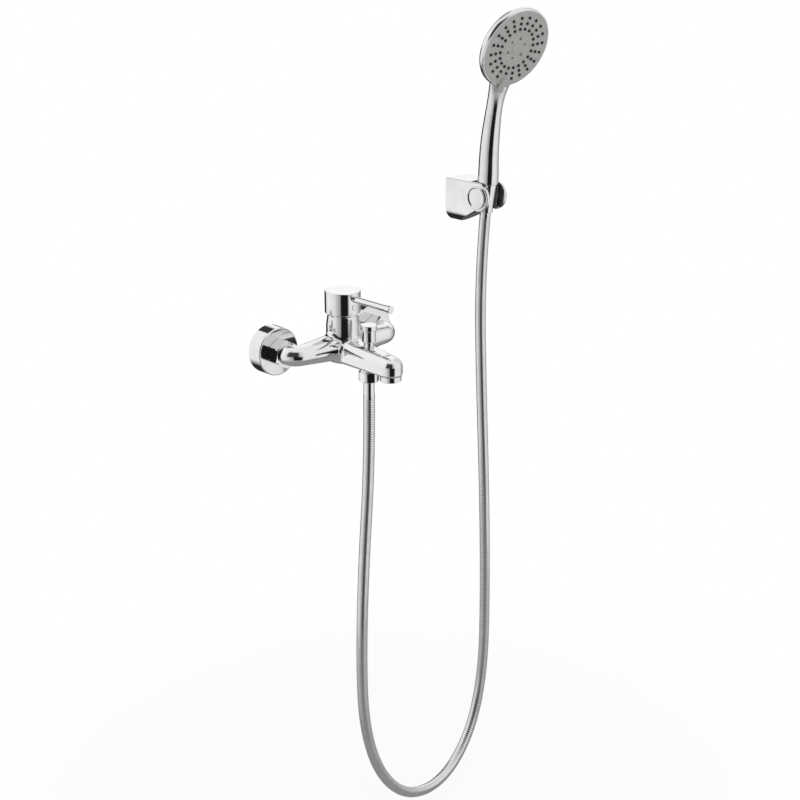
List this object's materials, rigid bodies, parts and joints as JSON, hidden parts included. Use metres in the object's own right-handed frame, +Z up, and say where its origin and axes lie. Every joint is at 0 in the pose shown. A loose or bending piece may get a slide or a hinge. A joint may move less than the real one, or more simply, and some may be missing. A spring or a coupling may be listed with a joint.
{
  "type": "bath mixer",
  "caption": "Wall-mounted single-lever bath mixer with a diverter spout, round hand shower, flexible hose and tilting wall holder, all in chrome.",
  "frame": {"origin": "midway between the two wall inlets, on the face of the finished wall", "axes": "+X along the wall from the left inlet to the right one, +Y into the wall, +Z up"},
  "size_m": [0.3916, 0.164, 1.0586],
  "materials": {
    "chrome": "polished",
    "chromed_plastic": "bright chrome plating on moulded plastic",
    "brass": "machined",
    "steel": "drawn",
    "hose_metal": "bright wound steel",
    "rubber": "moulded",
    "soft_grey": "soft moulded",
    "white_plastic": "moulded",
    "grey_plastic": "satin",
    "dark_plastic": "moulded",
    "ceramic": "lapped"
  },
  "bodies": {
    "wall_side": {"aerator_housing": "chrome", "aerator_insert": "white_plastic", "aerator_washer": "rubber", "cartridge_base": "white_plastic", "cartridge_housing": "white_plastic", "cartridge_nut": "brass", "cartridge_seals": "rubber", "diverter_bonnet": "chrome", "dome_ring": "chrome", "fixed_disc": "ceramic", "holder_base": "chromed_plastic", "holder_left_cover": "chromed_plastic", "holder_right_cover": "chromed_plastic", "holder_set_screw": "steel", "holder_wall_plate": "dark_plastic", "hose_lower_ferrule": "chrome", "hose_lower_washer": "rubber", "hose_nut": "chrome", "inlet_washers": "rubber", "left_escutcheon": "chrome", "left_inlet_nipple": "brass", "left_s_union": "brass", "left_union_nut": "chrome", "mixer_body": "chrome", "right_escutcheon": "chrome", "right_inlet_nipple": "brass", "right_s_union": "brass", "right_union_nut": "chrome", "shower_hose": "hose_metal", "shower_outlet": "brass"},
    "turret": {"stem_guide": "white_plastic", "spindle_axle": "steel"},
    "lever": {"lever_cap": "chrome", "lever_pin": "chrome", "lever_pin_tip": "chrome", "lever_grub_screw": "steel", "index_plug": "chromed_plastic", "lever_spindle": "steel"},
    "disc_driver": {"moving_disc": "ceramic", "disc_carrier": "white_plastic"},
    "diverter": {"diverter_knob": "chrome", "diverter_rod": "brass", "diverter_plug": "rubber"},
    "cradle": {"holder_cradle": "dark_plastic", "cradle_pins": "dark_plastic"},
    "hose_end": {"hose_upper_ferrule": "chrome", "hose_upper_washer": "rubber"},
    "handset": {"cone_nut": "chrome", "handset_inlet": "brass", "handset_body": "chromed_plastic", "head_rim": "chromed_plastic", "water_distributor": "white_plastic"},
    "spray_face": {"spray_plate": "grey_plastic", "spray_nozzles": "soft_grey", "spray_centre": "grey_plastic", "selector_tab": "grey_plastic", "face_screw": "steel"}
  },
  "joints": [
    {"name": "lever_turn", "type": "hinge", "parent": "wall_side", "child": "turret", "pos_m": [0, -0.05, 0.0448], "axis": [0, 0, 1], "range_deg": [-45, 45]},
    {"name": "lever_lift", "type": "hinge", "parent": "turret", "child": "lever", "pos_m": [0, -0.05, 0.0448], "axis": [-1, 0, 0], "range_deg": [0, 22]},
    {"name": "disc_slide", "type": "slide", "parent": "turret", "child": "disc_driver", "axis": [0, -1, 0], "range_m": [0, 0.00505]},
    {"name": "diverter_pull", "type": "slide", "parent": "wall_side", "child": "diverter", "axis": [0, 0, 1], "range_m": [0, 0.0065]},
    {"name": "holder_tilt", "type": "hinge", "parent": "wall_side", "child": "cradle", "pos_m": [0.239, -0.0555, 0.154], "axis": [1, 0, 0], "range_deg": [-12, 25], "deforming": ["shower_hose"]},
    {"name": "handset_lift", "type": "slide", "parent": "cradle", "child": "hose_end", "axis": [0, -0.0872, 0.9962], "range_m": [0, 0.045], "deforming": ["shower_hose"]},
    {"name": "handset_swivel", "type": "hinge", "parent": "hose_end", "child": "handset", "pos_m": [0.239, -0.0555, 0.154], "axis": [0, -0.0872, 0.9962], "range_deg": [-45, 45]},
    {"name": "spray_select", "type": "hinge", "parent": "handset", "child": "spray_face", "pos_m": [0.23633, -0.10246, 0.34102], "axis": [-0.0838, -0.9299, -0.358], "range_deg": [-20, 40]}
  ],
  "couplings": [
    {"joint": "disc_slide", "follows": "lever_lift", "m_per_rad": 0.013}
  ]
}
